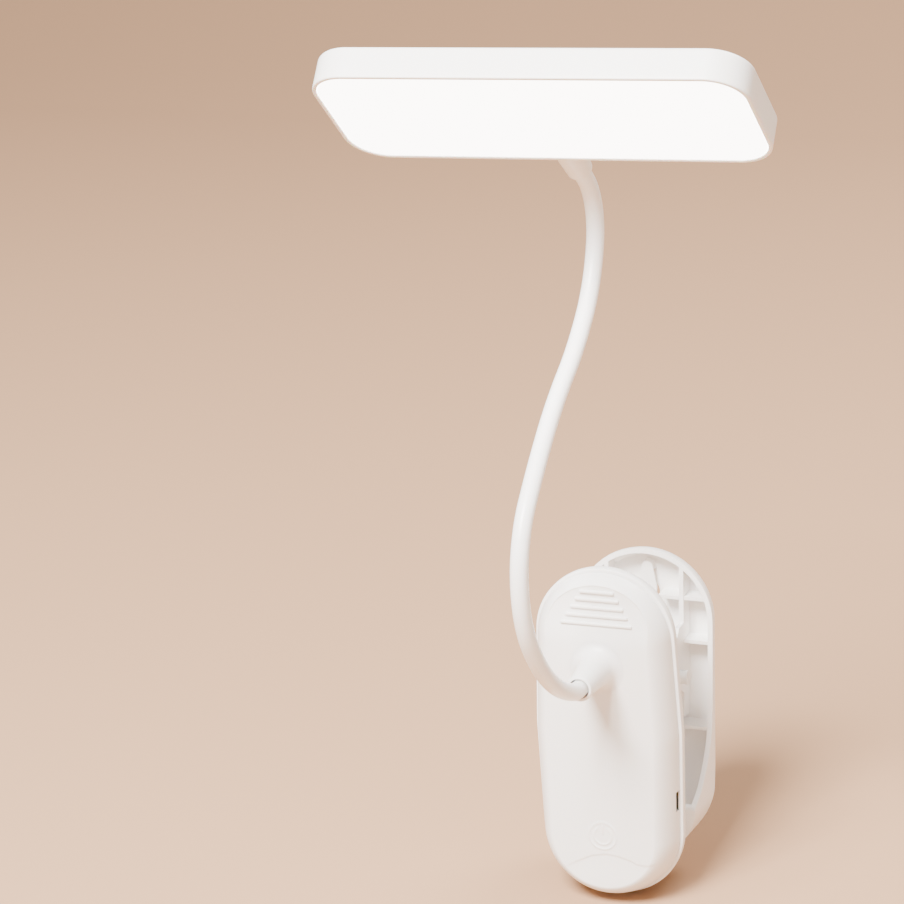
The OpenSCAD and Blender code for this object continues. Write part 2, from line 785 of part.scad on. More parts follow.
// White rim between the diffuser and the LED board that keeps the light in
module reflector() {
    color("white") in_head() difference() {
        head_level(-3.78, 4.16, 2.4);
        head_level(-4, 4, 3.4);
        head_level(-4, 6, 7.4);
        box(saddle_gap[0], saddle_gap[1]);
    }
}

module diffuser() {
    color([1, 0.99, 0.96]) in_head() head_level(head_low_z + 0.3, 1.6, 1.75);
}

// ---- draw ----
front_shell();
rear_cover();
cover_screws();
front_pad();
main_board();
board_parts();
board_screws();
usb_socket();
battery();
battery_leads();
touch_spring();
hinge_pin();
torsion_spring();
rear_jaw();
jaw_pad();
base_ferrule();
neck_nut();
neck_sleeve(0);  // neck_sleeve_0
neck_sleeve(1);  // neck_sleeve_1
neck_sleeve(2);  // neck_sleeve_2
neck_sleeve(3);  // neck_sleeve_3
neck_sleeve(4);  // neck_sleeve_4
neck_sleeve(5);  // neck_sleeve_5
neck_sleeve(6);  // neck_sleeve_6
neck_sleeve(7);  // neck_sleeve_7
neck_sleeve(8);  // neck_sleeve_8
neck_sleeve(9);  // neck_sleeve_9
neck_sleeve(10);  // neck_sleeve_10
neck_core(0);  // neck_core_0
neck_core(1);  // neck_core_1
neck_core(2);  // neck_core_2
neck_core(3);  // neck_core_3
neck_core(4);  // neck_core_4
neck_core(5);  // neck_core_5
neck_core(6);  // neck_core_6
neck_core(7);  // neck_core_7
neck_core(8);  // neck_core_8
neck_core(9);  // neck_core_9
neck_core(10);  // neck_core_10
neck_lead();
head_ferrule();
neck_clamp();
clamp_screws();
head_shell();
led_board();
led_board_screws();
leds();
reflector();
diffuser();
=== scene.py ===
"""Looks of the clip-on reading lamp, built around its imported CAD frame.

Outlines and places are in mm in the lamp's frame, as in the CAD: +X to the clip's right, +Y from
the front grip pad to the rear jaw, +Z up. The stage, the lights and the camera are in metres.
"""

import json
import math

import bmesh
import bpy
import numpy as np
from mathutils import Euler, Matrix, Vector


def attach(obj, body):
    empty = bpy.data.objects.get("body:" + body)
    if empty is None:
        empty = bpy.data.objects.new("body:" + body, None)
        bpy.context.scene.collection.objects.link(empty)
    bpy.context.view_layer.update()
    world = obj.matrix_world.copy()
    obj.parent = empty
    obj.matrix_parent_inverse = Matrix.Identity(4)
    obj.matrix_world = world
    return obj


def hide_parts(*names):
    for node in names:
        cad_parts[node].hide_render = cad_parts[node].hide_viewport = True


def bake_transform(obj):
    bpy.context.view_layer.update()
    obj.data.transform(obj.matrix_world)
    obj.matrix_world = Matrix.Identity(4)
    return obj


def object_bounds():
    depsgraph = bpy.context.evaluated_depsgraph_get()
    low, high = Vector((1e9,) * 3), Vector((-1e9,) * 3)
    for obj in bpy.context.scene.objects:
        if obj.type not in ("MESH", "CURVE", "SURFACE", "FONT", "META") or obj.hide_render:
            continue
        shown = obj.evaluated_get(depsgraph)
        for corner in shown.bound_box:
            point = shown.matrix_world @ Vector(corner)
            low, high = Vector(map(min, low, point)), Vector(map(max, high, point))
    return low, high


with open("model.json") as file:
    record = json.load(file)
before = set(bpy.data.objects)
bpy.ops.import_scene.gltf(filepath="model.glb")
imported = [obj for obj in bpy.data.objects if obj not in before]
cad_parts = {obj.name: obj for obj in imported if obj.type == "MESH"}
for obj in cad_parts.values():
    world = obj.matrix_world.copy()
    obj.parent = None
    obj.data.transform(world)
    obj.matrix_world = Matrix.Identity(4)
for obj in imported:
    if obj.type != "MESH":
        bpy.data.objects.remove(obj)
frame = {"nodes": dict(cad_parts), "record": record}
cad_low, cad_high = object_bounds()
nodes = frame["nodes"]
MM = 0.001

# ---------------------------------------------------------------- clip body
R_TOP, Z_TOP = 28.3, 88.5      # the three circles whose hull is the clip's outline
R_MID, Z_MID = 30.0, 50.0
R_LOW, Z_LOW = 29.0, 8.3
ARC = 160                      # steps of the outline in each end's arc
SIDE = 150                     # steps of the outline down each side
WALL = 1.8                     # thickness of the two shells
PARTING = -11.0                # where the front shell meets the rear cover
RIM_INSET = 1.3                # the front shell's wall stands in from the outline by this much
RIM_Y = PARTING - 0.45         # where the rounded edge starts, past a fine step at the parting line
EDGE = 6.9                     # width of the front shell's rounded edge
FRONT_STEP = 0.33              # inset between two rings of the flat face
CENTRE = 27.2                  # the face inside this inset is one strip of quads
FACE_TOP = (-21.3, 107.0)      # a point of the front face, as (y, z)
FACE_TILT = 1.5                # lean of the front face, in degrees
RECESS_Z = 88.0                # the thumb rest sinks into the face above this height
RECESS_REACH = 22.0            # height over which the recess reaches its full depth
RECESS_DEPTH = 2.85
RIBS = 5                       # thumb ribs, counted from the top
RIB_TOP, RIB_STEP = 110.0, 3.1
RIB_HALF, RIB_GROWTH = 7.1, 1.85
RIB_R = 0.6                    # half height of a rib
MARK_Z = 9.5                   # centre of the power mark
MARK_H = 0.3                   # relief of the power mark
MARK_W = 0.34                  # half width of the mark's lines
MARK_RING, MARK_ARC = 5.6, 3.6   # radii of its ring and its open arc
SLOT_X = 20.0                  # the charging slot is in the wall beyond this
SLOT_Z = (18.4, 26.4)
SLOT_FRONT = -14.2             # front edge of the charging slot

# ---------------------------------------------------------------- neck boss and hinge
BOSS_Z, MOUTH_Y = 80.0, -43.5
BOSS_R, BOSS_BORE = 5.1, 4.0
BOSS_BASE, FILLET = 11.0, 4.5
HINGE = (26.0, 58.5)           # hinge axis, as (y, z)

# ---------------------------------------------------------------- gooseneck
NECK_START = -42.0
NECK_R = 3.4
LEAD_R = 0.9
LEAD_START = -26.0             # the lead joins the neck's line this far before the neck's start
LINK_L = 29.0                  # length between two bending places
BASE_L, BASE_TURN = 8.0, -22.0
TURNS = [-18, -18, -36, -43, -6, -11, 15, 33, 64]
STUB = 8.0                     # straight stub below the head
JOINTS = 10

# ---------------------------------------------------------------- lamp head, in the head's frame
HEAD_W, HEAD_D, HEAD_H = 163.0, 62.0, 12.8
HEAD_R = 15.0
HEAD_LOW = -5.7
HEAD_TOP = HEAD_LOW + HEAD_H
HEAD_MID = 30.9                # inset of the innermost ring, next to the panel's middle line
HEAD_WALL = 1.6
SOCKET_L, TWIST = 17.4, 1.5


# ---------------------------------------------------------------- materials
def material(name, colour, rough, metal=0.0, grain=0.0, grain_scale=1800.0, mottle=0.0,
             mottle_scale=60.0, coat=0.0, soft=0.0, emit=None, strength=0.0):
    """Principled material with a fine procedural grain and a slight mottle in tone and gloss."""
    m = bpy.data.materials.new(name)
    m.use_nodes = True
    tree = m.node_tree
    bsdf = tree.nodes["Principled BSDF"]
    bsdf.inputs["Base Color"].default_value = (*colour, 1.0)
    bsdf.inputs["Roughness"].default_value = rough
    bsdf.inputs["Metallic"].default_value = metal
    bsdf.inputs["Coat Weight"].default_value = coat
    bsdf.inputs["Coat Roughness"].default_value = 0.25
    if soft:
        bsdf.inputs["Subsurface Weight"].default_value = soft
        bsdf.inputs["Subsurface Scale"].default_value = 0.002
        bsdf.inputs["Subsurface Radius"].default_value = (1.0, 0.7, 0.5)
    if emit:
        bsdf.inputs["Emission Color"].default_value = (*emit, 1.0)
        bsdf.inputs["Emission Strength"].default_value = strength
    where = tree.nodes.new("ShaderNodeTexCoord")
    if grain:
        noise = tree.nodes.new("ShaderNodeTexNoise")
        noise.inputs["Scale"].default_value = grain_scale
        noise.inputs["Detail"].default_value = 3.0
        bump = tree.nodes.new("ShaderNodeBump")
        bump.inputs["Strength"].default_value = grain
        bump.inputs["Distance"].default_value = 0.0002
        tree.links.new(where.outputs["Object"], noise.inputs["Vector"])
        tree.links.new(noise.outputs["Fac"], bump.inputs["Height"])
        tree.links.new(bump.outputs["Normal"], bsdf.inputs["Normal"])
    if mottle:
        cloud = tree.nodes.new("ShaderNodeTexNoise")
        cloud.inputs["Scale"].default_value = mottle_scale
        cloud.inputs["Detail"].default_value = 4.0
        tone = tree.nodes.new("ShaderNodeMix")
        tone.data_type = "RGBA"
        tone.inputs["A"].default_value = (*[c * (1 - mottle) for c in colour], 1.0)
        tone.inputs["B"].default_value = (*[min(1.0, c * (1 + mottle)) for c in colour], 1.0)
        gloss = tree.nodes.new("ShaderNodeMapRange")
        gloss.inputs["To Min"].default_value = rough * (1 - 2 * mottle)
        gloss.inputs["To Max"].default_value = min(1.0, rough * (1 + 2 * mottle))
        tree.links.new(where.outputs["Object"], cloud.inputs["Vector"])
        tree.links.new(cloud.outputs["Fac"], tone.inputs["Factor"])
        tree.links.new(tone.outputs["Result"], bsdf.inputs["Base Color"])
        tree.links.new(cloud.outputs["Fac"], gloss.inputs["Value"])
        tree.links.new(gloss.outputs["Result"], bsdf.inputs["Roughness"])
    return m


MATERIALS = {
    "white_shell": material("white_shell", (0.92, 0.895, 0.87), 0.36, grain=0.05, mottle=0.012,
                            soft=0.12),
    "white_pin": material("white_pin", (0.88, 0.875, 0.86), 0.28, mottle=0.01),
    "sleeve": material("sleeve", (0.93, 0.92, 0.905), 0.32, grain=0.03, grain_scale=900.0,
                       mottle=0.01, soft=0.15),
    "steel": material("steel", (0.60, 0.61, 0.63), 0.28, metal=1.0, grain=0.05, mottle=0.04),
    "pad": material("pad", (0.52, 0.52, 0.51), 0.72, grain=0.25, mottle=0.03),
    "board": material("board", (0.02, 0.13, 0.06), 0.35, grain=0.05, mottle=0.05, coat=0.4),
    "chips": material("chips", (0.02, 0.02, 0.022), 0.5, grain=0.1, mottle=0.05),
    "cell": material("cell", (0.52, 0.54, 0.58), 0.3, metal=0.7, grain=0.1, mottle=0.04),
    "leads": material("leads", (0.28, 0.03, 0.02), 0.4, mottle=0.04),
    "lead": material("lead", (0.015, 0.015, 0.015), 0.45, mottle=0.05),
    "led_board": material("led_board", (0.84, 0.84, 0.82), 0.4, grain=0.04, mottle=0.02),
    "led": material("led", (0.9, 0.75, 0.35), 0.25, mottle=0.03, emit=(1.0, 0.93, 0.78),
                    strength=1.5),
    "reflector": material("reflector", (0.88, 0.88, 0.88), 0.3, mottle=0.01),
    "diffuser": material("diffuser", (0.95, 0.95, 0.94), 0.4, mottle=0.005,
                         emit=(1.0, 0.985, 0.965), strength=9.0),
}
SLOT_OF = {part["node"]: part["material_slot"] for part in frame["record"]["subparts"]}
for node_name, cad_piece in nodes.items():
    cad_piece.data.materials.clear()
    cad_piece.data.materials.append(MATERIALS[SLOT_OF[node_name]])


# ---------------------------------------------------------------- mesh helpers
def shade(mesh, sharp):
    """Smooth shading with creases at edges that turn by more than sharp degrees."""
    mesh.polygons.foreach_set("use_smooth", [True] * len(mesh.polygons))
    mesh.set_sharp_from_angle(angle=math.radians(sharp))


def add_object(name, data):
    o = bpy.data.objects.new(name, data)
    bpy.context.scene.collection.objects.link(o)
    return o


class Solid:
    """Collects meshes, in mm, that make up one piece."""

    def __init__(self):
        self.verts = []
        self.faces = []

    def add(self, verts, faces):
        base = len(self.verts)
        self.verts += [tuple(v) for v in verts]
        self.faces += [tuple(base + i for i in f) for f in faces]

    def rings(self, rings, start=False, end=False, skip=None):
        """Quads between rings of equally many points; start and end close them with a face."""
        n = len(rings[0])
        last = len(rings) - 1
        faces = []
        for i in range(last):
            for j in range(n):
                if skip and skip(i, j):
                    continue
                k = (j + 1) % n
                faces.append((i * n + j, i * n + k, (i + 1) * n + k, (i + 1) * n + j))
        if start:
            faces.append(tuple(range(n)))
        if end:
            faces.append(tuple(last * n + j for j in range(n)))
        self.add([p for r in rings for p in r], faces)

    def object(self, name, sharp):
        """The piece as a mesh object in metres; sharp is the crease angle."""
        mesh = bpy.data.meshes.new(name)
        mesh.from_pydata([tuple(v) for v in np.asarray(self.verts, float) * MM], [], self.faces)
        bm = bmesh.new()
        bm.from_mesh(mesh)
        bmesh.ops.remove_doubles(bm, verts=bm.verts, dist=1e-6)
        bmesh.ops.recalc_face_normals(bm, faces=bm.faces)
        bm.to_mesh(mesh)
        bm.free()
        shade(mesh, sharp)
        return add_object(name, mesh)


def apply_modifiers(o):
    """Puts the modifiers' result into the object's own mesh."""
    bpy.context.view_layer.update()
    done = bpy.data.meshes.new_from_object(o.evaluated_get(bpy.context.evaluated_depsgraph_get()))
    o.modifiers.clear()
    o.data = done


def finish_piece(o, body, slot, *stands_for):
    """Gives a piece its material and body, and hides the CAD nodes that it stands for."""
    o.data.materials.append(MATERIALS[slot])
    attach(o, body)
    if stands_for:
        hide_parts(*stands_for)


def finish_blended(o, slot, body_a, body_b, start, end, *stands_for):
    """Gives a piece its material, bakes its placement into its mesh, and hides the CAD nodes that it
    stands for.
    """
    o.data.materials.append(MATERIALS[slot])
    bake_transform(o)
    if stands_for:
        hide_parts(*stands_for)


def sweep(steps, low=0, high=90):
    """Angles in radians, evenly spread between two in degrees: a quarter turn unless they are given."""
    return np.radians(np.linspace(low, high, steps))


def revolve(profile, place, sides=64):
    """Rings of a profile of (radius, distance along the axis), put in place by a function."""
    angles = np.linspace(0, 2 * math.pi, sides, endpoint=False)
    return [[place(r * math.cos(a), r * math.sin(a), d) for a in angles] for r, d in profile]


def rounded_bar(low, high, r, steps=4):
    """A box with rounded edges, as rings along X."""
    corners = ((1, 1, 0), (-1, 1, 90), (-1, -1, 180), (1, -1, 270))

    def section(x, shrink):
        y0, y1 = low[1] + shrink, high[1] - shrink
        z0, z1 = low[2] + shrink, high[2] - shrink
        rr = max(r - shrink, 1e-4)
        pts = []
        for side_y, side_z, first in corners:
            cy = y1 - rr if side_y > 0 else y0 + rr
            cz = z1 - rr if side_z > 0 else z0 + rr
            for a in sweep(steps + 1, first, first + 90):
                pts.append((x, cy + rr * math.cos(a), cz + rr * math.sin(a)))
        return pts

    turns = sweep(steps + 1)
    ends = [(r * (1 - math.cos(a)), r * (1 - math.sin(a))) for a in turns]
    rings = [section(low[0] + run, shrink) for run, shrink in ends]
    rings += [section(high[0] - run, shrink) for run, shrink in reversed(ends)]
    return rings


def prism(s, profile, x0, x1, edge):
    """A profile of (y, z) points run along X, with its edges rounded by edge."""
    p = np.array(profile, float)
    along = np.roll(p, -1, axis=0) - p
    along /= np.linalg.norm(along, axis=1)[:, None]
    out = np.stack([along[:, 1], -along[:, 0]], 1)
    area = 0.5 * np.sum(p[:, 0] * np.roll(p[:, 1], -1) - np.roll(p[:, 0], -1) * p[:, 1])
    if area < 0:
        out = -out
    corner = out + np.roll(out, 1, axis=0)
    corner /= np.maximum((corner * out).sum(1), 0.4)[:, None]
    ends = [(edge * (1 - math.cos(a)), edge * (1 - math.sin(a))) for a in sweep(4)]
    rows = [(x0 + run, inset) for run, inset in ends]
    rows += [(x1 - run, inset) for run, inset in reversed(ends)]
    s.rings([[(x, y, z) for y, z in p - corner * inset] for x, inset in rows], start=True, end=True)


def tube(points, tangents, r, sides):
    """Rings round a path, in the path's own planes."""
    side = np.cross(tangents[0], [0.31, 0.77, 0.55])
    side /= np.linalg.norm(side)
    angles = np.linspace(0, 2 * math.pi, sides, endpoint=False)
    rings = []
    for p, t in zip(points, tangents):
        side = side - side.dot(t) * t
        side /= np.linalg.norm(side)
        up = np.cross(t, side)
        rings.append([p + r * (math.cos(a) * side + math.sin(a) * up) for a in angles])
    return rings


def smoothstep(x, a, b):
    t = np.clip((x - a) / (b - a), 0.0, 1.0)
    return t * t * (3 - 2 * t)


def soft_max(a, b, k):
    """The larger of two heights with the crease between them rounded over about k."""
    h = np.clip(0.5 + 0.5 * (a - b) / k, 0, 1)
    return b + (a - b) * h + k * h * (1 - h)


def swell(u, power):
    """A rounded rise from 0 to 1, upright at first and level at the end."""
    return (1 - (1 - u) ** power) ** (1 / power)


# ---------------------------------------------------------------- clip outline and front face
def outline(inset):
    """The clip's outline as (x, z) points: top arc, left side, low arc, right side."""
    up = math.asin((R_MID - R_TOP) / (Z_TOP - Z_MID))
    down = math.asin((R_MID - R_LOW) / (Z_MID - Z_LOW))
    rt, rm, rl = R_TOP - inset, R_MID - inset, R_LOW - inset
    top = [(rt * math.cos(a), Z_TOP + rt * math.sin(a))
           for a in np.linspace(up, math.pi - up, ARC + 1)]
    low = [(rl * math.cos(a), Z_LOW + rl * math.sin(a))
           for a in np.linspace(math.pi + down, 2 * math.pi - down, ARC + 1)]
    # where the two straight stretches of a side begin and end, from the top down
    xa, za = rt * math.cos(up), Z_TOP + rt * math.sin(up)
    xb, zb = rm * math.cos(up), Z_MID + rm * math.sin(up)
    xc, zc = rm * math.cos(down), Z_MID - rm * math.sin(down)
    xd, zd = rl * math.cos(down), Z_LOW - rl * math.sin(down)

    def x_at(z):
        if z > zb:
            return xb + (xa - xb) * (z - zb) / (za - zb)
        if z < zc:
            return xd + (xc - xd) * (z - zd) / (zc - zd)
        return math.sqrt(max(rm * rm - (z - Z_MID) ** 2, 0))

    run = np.linspace(za, zd, SIDE + 1)[1:-1]
    left = [(-x_at(z), z) for z in run]
    right = [(x_at(z), z) for z in run[::-1]]
    return np.array(top + left + low + right)


def flat_ring(inset, y):
    return [(x, y, z) for x, z in outline(inset)]


def face_y(z):
    y, top = FACE_TOP
    return y - (top - z) * math.tan(math.radians(FACE_TILT))


def recess_y(z):
    return face_y(z) + RECESS_DEPTH * smoothstep(z, RECESS_Z, RECESS_Z + RECESS_REACH)


def power_mark(x, z):
    """Relief of the power mark: a ring, and in it an open arc and a bar."""
    dz = z - MARK_Z
    r = np.hypot(x, dz)
    open_top = smoothstep(np.abs(np.arctan2(x, dz)), math.radians(26), math.radians(36))
    ring = np.exp(-((r - MARK_RING) / MARK_W) ** 2)
    arc = np.exp(-((r - MARK_ARC) / MARK_W) ** 2) * open_top
    bar = np.exp(-(x / MARK_W) ** 2) * smoothstep(dz, 0.4, 0.9) * (1 - smoothstep(dz, 4.3, 4.9))
    return MARK_H * (ring + arc + bar)


WAVE = np.array([(-20, -7.5), (-12, -2.7), (-5, 0.9), (1, 2.1), (6, 1.7), (11.6, 0.2), (13.6, -1.0),
                 (17, -1.2), (20.6, -0.6), (24, 1.0)])


def low_wave(x, z):
    """Depth of the shallow wave under the power mark; its crest runs through the WAVE points."""
    below = np.interp(x, WAVE[:, 0], WAVE[:, 1]) - z
    ends = smoothstep(x, -19, -9) * (1 - smoothstep(x, 18, 23))
    return 0.26 * ends * smoothstep(below, -0.1, 0.9) * (1 - smoothstep(below, 1.5, 13))


def shell_y(x, z, inset, detail=True):
    """Front surface of the front shell; detail adds the thumb recess, the power mark and the wave."""
    u = np.clip((inset - RIM_INSET) / EDGE, 0, 1)
    y = RIM_Y - (RIM_Y - face_y(z)) * swell(u, 1.6)
    if detail:
        no_floor = -40.0               # in front of every point of the face
        floor = np.where(z > RECESS_Z + 0.2, recess_y(z), no_floor)
        arch = 0.3 * smoothstep(floor - y, 0.0, 0.45) * smoothstep(z, 91, 101)
        y = soft_max(y, floor, 0.08) + arch
        y = y - power_mark(x, z) + low_wave(x, z)
    return y


# ---------------------------------------------------------------- front shell
def edge_insets(angles):
    """Insets across the rounded edge, closest together where it is steepest."""
    return [RIM_INSET + EDGE * (1 - math.cos(a) ** 1.25) for a in angles]


def beside_slot(p):
    return p[0] > SLOT_X and SLOT_Z[0] <= p[2] <= SLOT_Z[1]


def add_outer_skin(s, angles):
    insets = edge_insets(angles)
    insets += list(np.arange(RIM_INSET + EDGE + FRONT_STEP, CENTRE, FRONT_STEP))
    insets.append(CENTRE)
    rings = [flat_ring(2.1, PARTING - 0.02), flat_ring(2.05, PARTING - 0.42), flat_ring(1.45, RIM_Y)]
    for inset in insets:
        line = outline(inset)
        y = shell_y(line[:, 0], line[:, 1], inset)
        if inset == insets[0]:
            y = np.full(len(line), PARTING - 0.6)
        rings.append([(x, yy, z) for (x, z), yy in zip(line, y)])
    foot = ARC + SIDE + ARC // 2 + 10          # a point near the foot of the outline
    slot_rows = [i for i, r in enumerate(rings) if r[foot][1] > SLOT_FRONT]
    s.rings(rings, skip=lambda i, j: i in slot_rows and beside_slot(rings[i][j]))


def add_centre_strip(s, columns=15):
    """The strip down the middle of the face, between left and right points of one outline."""
    line = outline(CENTRE)
    pairs = [(ARC - i, i) for i in range(ARC // 2, -1, -1)]
    pairs += [(ARC + 1 + j, len(line) - 1 - j) for j in range(SIDE - 1)]
    pairs += [(ARC + SIDE + i, 2 * ARC + SIDE - i) for i in range(ARC // 2 + 1)]
    grid = []
    for i, j in pairs:
        x = np.linspace(line[i][0], line[j][0], columns)
        z = np.linspace(line[i][1], line[j][1], columns)
        grid += list(zip(x, shell_y(x, z, CENTRE), z))
    corners = [k * columns + j for k in range(len(pairs) - 1) for j in range(columns - 1)]
    s.add(grid, [(c, c + 1, c + columns + 1, c + columns) for c in corners])


def add_inner_skin(s, angles):
    rings = []
    for inset in edge_insets(angles[::3]) + list(np.arange(9, 27, 1.0)):
        line = outline(inset + WALL)
        depth = WALL * min(1, (inset - RIM_INSET) / 3)
        y = shell_y(line[:, 0], line[:, 1], inset, detail=False) + depth
        y = np.where(line[:, 1] > RECESS_Z, np.maximum(y, recess_y(line[:, 1]) + 1.6), y)
        rings.append([(x, min(yy, PARTING), z) for (x, z), yy in zip(line, y)])
    s.rings(rings, skip=lambda i, j: beside_slot(rings[i][j]) and rings[i][j][1] > -14.0)


def add_slot_walls(s):
    """The four thin walls between the outer and the inner skin round the charging slot."""
    z0, z1 = 18.35, 26.65
    thick = 0.25
    x0, x1 = 25.6, 27.45
    for y_low, y_high, z_low, z_high in ((-14.3, -14.1, z0, z1),
                                         (SLOT_FRONT, -11.5, z0 - thick, z0),
                                         (SLOT_FRONT, -11.5, z1, z1 + thick)):
        bar = rounded_bar((x0, y_low, z_low), (x1, y_high, z_high), 0.05, 2)
        s.rings(bar, start=True, end=True)


def add_thumb_ribs(s):
    for i in range(RIBS):
        half = RIB_HALF + i * RIB_GROWTH
        z = RIB_TOP - i * RIB_STEP
        y = float(recess_y(z))
        bar = rounded_bar((-half, y - 0.72, z - RIB_R), (half, y + 1.6, z + RIB_R), 0.42)
        s.rings(bar, start=True, end=True)


def add_boss(s):
    """The neck boss, run into the face with a wide fillet; its profile is (radius, height)."""
    top = -face_y(BOSS_Z)
    reach = -MOUTH_Y - top
    profile = [(BOSS_BASE - FILLET * math.sin(a), FILLET - FILLET * math.cos(a))
               for a in sweep(22, 0, 84)]
    r_foot, h_foot = profile[-1]
    for t in np.linspace(0, 1, 16)[1:]:
        r = r_foot + (BOSS_R + 0.02 - r_foot) * (1 - (1 - t) ** 1.6)
        profile.append((r, h_foot + (reach - 0.45 - h_foot) * t))
    profile += [(BOSS_R - 0.05, reach - 0.2), (BOSS_R - 0.2, reach - 0.05), (BOSS_R - 0.45, reach),
                (BOSS_BORE + 0.3, reach), (BOSS_BORE + 0.08, reach - 0.08), (BOSS_BORE, reach - 0.35),
                (BOSS_BORE, reach - 7.0)]

    def place(u, v, h):
        lean = (face_y(BOSS_Z + v) - face_y(BOSS_Z)) * max(0.0, 1 - h / 12.0)
        return (u, -top + lean - h - 0.012, BOSS_Z + v)

    s.rings(revolve(profile, place, 96))


def make_front_shell():
    s = Solid()
    angles = sweep(40)
    add_outer_skin(s, angles)
    add_centre_strip(s)
    add_inner_skin(s, angles)
    add_slot_walls(s)
    add_thumb_ribs(s)
    add_boss(s)
    finish_piece(s.object("clip_front_shell", 50.0), "clip", "white_shell", "front_shell")


# ---------------------------------------------------------------- rear cover
def outline_rings(profile):
    """Rings of the clip's outline; the last one is drawn in to the middle line."""
    rings = [flat_ring(inset, y) for inset, y in profile]
    rings[-1] = [(0.0, y, z) for x, y, z in rings[-1]]
    return rings


def make_rear_cover():
    middle = 28.25
    outer = [(1.9, -10.6), (1.9, -11.0), (0.45, -11.0), (0.2, -10.93), (0.05, -10.75), (0.0, -10.5),
             (0.0, -9.0)]
    for u in 1 - np.cos(sweep(26, 4, 90)) ** 1.1:
        outer.append((6.5 * u, -8.85 + 7.35 * swell(u, 1.8)))
    outer += [(inset, -1.5) for inset in (9, 14, 20, 25, middle)]
    inner = [(1.9, -10.6), (1.9, -9.0), (3.2, -5.0), (6.0, -3.5), (8, -3.3), (middle, -3.3)]
    s = Solid()
    s.rings(outline_rings(outer))
    s.rings(outline_rings(inner))
    cover = s.object("clip_rear_cover", 50.0)
    cut_screw_recesses(cover)
    finish_piece(cover, "clip", "white_shell", "rear_cover")


def cut_screw_recesses(cover):
    """The two upper screw recesses, cut with a boolean that is then applied."""
    drill = Solid()
    for sx in (-14, 14):
        bore = revolve([(2.8, -4.5), (2.8, 2.0)], lambda u, v, d: (sx + u, d, 98 + v), 48)
        drill.rings(bore, start=True, end=True)
    cutter = drill.object("cutter", 40.0)
    cut = cover.modifiers.new("recess", "BOOLEAN")
    cut.object = cutter
    cut.solver = "EXACT"
    cut.operation = "DIFFERENCE"
    apply_modifiers(cover)
    bpy.data.objects.remove(cutter)


def make_hinge_lugs():
    y, z = HINGE
    back = -2.0                    # the lugs start inside the rear cover's wall
    r = 6.0
    x0, x1 = 10.8, 14.2
    profile = [(back, z - 14)]
    profile += [(y + r * math.cos(a), z + r * math.sin(a)) for a in sweep(60, -113, 110)]
    profile += [(back, z + 12)]
    s = Solid()
    prism(s, profile, -x1, -x0, 0.35)
    prism(s, profile, x0, x1, 0.35)
    finish_piece(s.object("clip_hinge_lugs", 35.0), "clip", "white_shell")


# ---------------------------------------------------------------- CAD shapes with softened edges
def make_softened(node, name, body, width):
    """A copy of a CAD node whose outer edges are rounded by width."""
    o = add_object(name, nodes[node].data.copy())
    bm = bmesh.new()
    bm.from_mesh(o.data)
    bmesh.ops.remove_doubles(bm, verts=bm.verts, dist=2e-6)
    bmesh.ops.dissolve_limit(bm, angle_limit=math.radians(1.0), verts=bm.verts, edges=bm.edges)
    edges = [e for e in bm.edges if len(e.link_faces) == 2 and e.is_convex
             and e.calc_face_angle(0) > math.radians(40.0)]
    bmesh.ops.bevel(bm, geom=edges, offset=width * MM, offset_type="OFFSET", segments=2,
                    profile=0.5, affect="EDGES", clamp_overlap=True)
    bm.to_mesh(o.data)
    bm.free()
    o.data.materials.clear()
    shade(o.data, 36.0)
    even = o.modifiers.new("even", "WEIGHTED_NORMAL")
    even.keep_sharp = True
    even.weight = 100
    apply_modifiers(o)
    finish_piece(o, body, SLOT_OF[node], node)


# ---------------------------------------------------------------- gooseneck
def heading(angle):
    """Unit vector of a heading in the plane x = 0."""
    return np.array((0, math.cos(angle), math.sin(angle)))


def neck_at(s):
    """Point and heading of the neck's centre line, s mm from the boss; the head is at the end."""
    y, z, h = NECK_START, BOSS_Z, 180.0
    if s < 0:
        return np.array((0, y - s, z)), math.radians(h)
    for length, turn in [(BASE_L, BASE_TURN)] + [(LINK_L, t) for t in TURNS]:
        part = min(s, length)
        t = turn * part / length
        chord = 2 * length / math.radians(abs(turn)) * math.sin(math.radians(abs(t)) / 2)
        d = math.radians(h + t / 2)
        y += chord * math.cos(d)
        z += chord * math.sin(d)
        h += t
        s -= part
        if s <= 0:
            return np.array((0, y, z)), math.radians(h)
    a = math.radians(h)
    return np.array((0, y + s * math.cos(a), z + s * math.sin(a))), a


def neck_joint(k):
    return BASE_L + LINK_L * (k - 1)


NECK_END, HEAD_HEADING = neck_at(neck_joint(JOINTS) + STUB)


def neck_path(s0, s1, count):
    """Points and tangents of the centre line between two distances."""
    at = [neck_at(s) for s in np.linspace(s0, s1, count)]
    return [p for p, _ in at], [heading(a) for _, a in at]


def neck_tube(s0, s1, r, sides, step):
    count = max(2, int(round((s1 - s0) / step))) + 1
    return tube(*neck_path(s0, s1, count), r, sides)


def lead_root(s1):
    """The lead's first stretch: up along the main board and round a bend into the boss."""
    bend, y = 3.5, -16.0
    points = [np.array((0, y + bend, 26.0)), np.array((0, y + bend, BOSS_Z - bend))]
    tangents = [heading(math.pi / 2)] * 2
    for a in np.radians((22.5, 45, 67.5)):
        points.append(np.array((0, y + bend * math.cos(a), BOSS_Z - bend + bend * math.sin(a))))
        tangents.append(heading(a + math.pi / 2))
    path = neck_path(LEAD_START, s1, 34)
    return tube(points + path[0], tangents + path[1], LEAD_R, 12)


